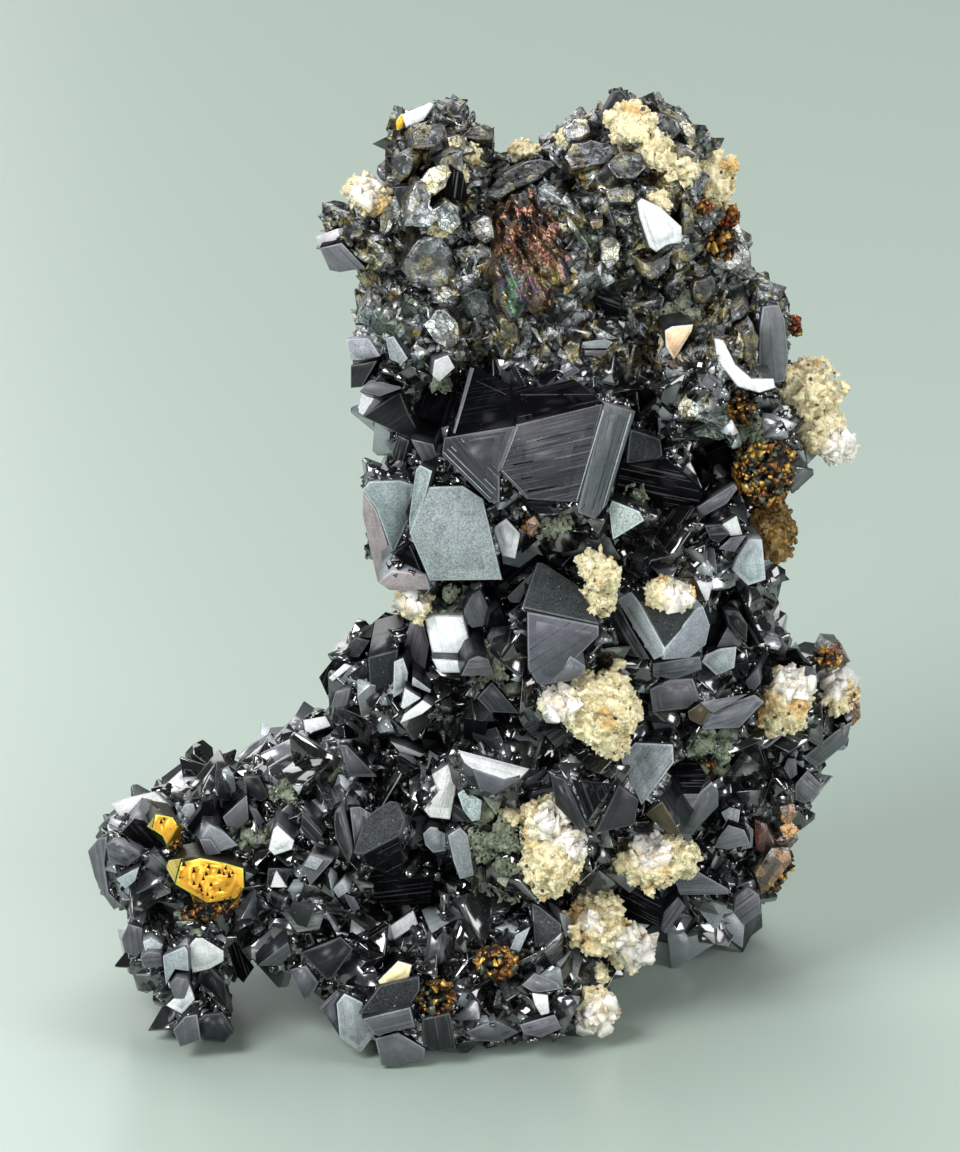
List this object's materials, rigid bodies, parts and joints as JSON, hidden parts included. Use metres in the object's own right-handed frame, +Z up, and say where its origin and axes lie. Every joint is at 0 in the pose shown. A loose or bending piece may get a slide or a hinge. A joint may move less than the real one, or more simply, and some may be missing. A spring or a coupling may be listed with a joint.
{
  "type": "mineral specimen",
  "caption": "Free-standing sphalerite specimen of intergrown flat-faced dark crystals, with pale calcite crusts and golden sulphide grains, for display",
  "frame": {"origin": "middle of the bounding box in x and y, at the level of the surface the specimen rests on", "axes": "+Z up as it rests, +Y from the pictured front to the back, +X to the right of someone facing the front"},
  "size_m": [0.0774, 0.05, 0.0969],
  "materials": {
    "ore": "dark grey to black crystals with a glassy to metallic shine (stands in for sphalerite)",
    "calcite": "granular cream calcite with whiter tips (stands in for a mineral)",
    "pyrite": "bright pale gold pyrite",
    "chalcopyrite": "tarnished coppery gold chalcopyrite",
    "bornite": "iridescent red-purple tarnish"
  },
  "bodies": {
    "root": {"sphalerite": "ore", "calcite_crown": "calcite", "calcite_crown_right": "calcite", "calcite_ledge": "calcite", "calcite_left_cap": "calcite", "calcite_heart": "calcite", "calcite_lobe": "calcite", "calcite_far": "calcite", "calcite_lower_left": "calcite", "calcite_lower_right": "calcite", "calcite_foot": "calcite", "calcite_toe": "calcite", "calcite_wedge": "calcite", "calcite_centre": "calcite", "calcite_seam": "calcite", "pyrite_large": "pyrite", "pyrite_small": "pyrite", "chalcopyrite_front": "chalcopyrite", "chalcopyrite_base": "chalcopyrite", "chalcopyrite_edge": "chalcopyrite", "chalcopyrite_knob": "chalcopyrite", "chalcopyrite_top": "chalcopyrite", "chalcopyrite_upper": "chalcopyrite", "chalcopyrite_red": "chalcopyrite", "chalcopyrite_bar": "chalcopyrite", "chalcopyrite_shoulder": "chalcopyrite", "bornite_patch": "bornite"}
  },
  "joints": []
}
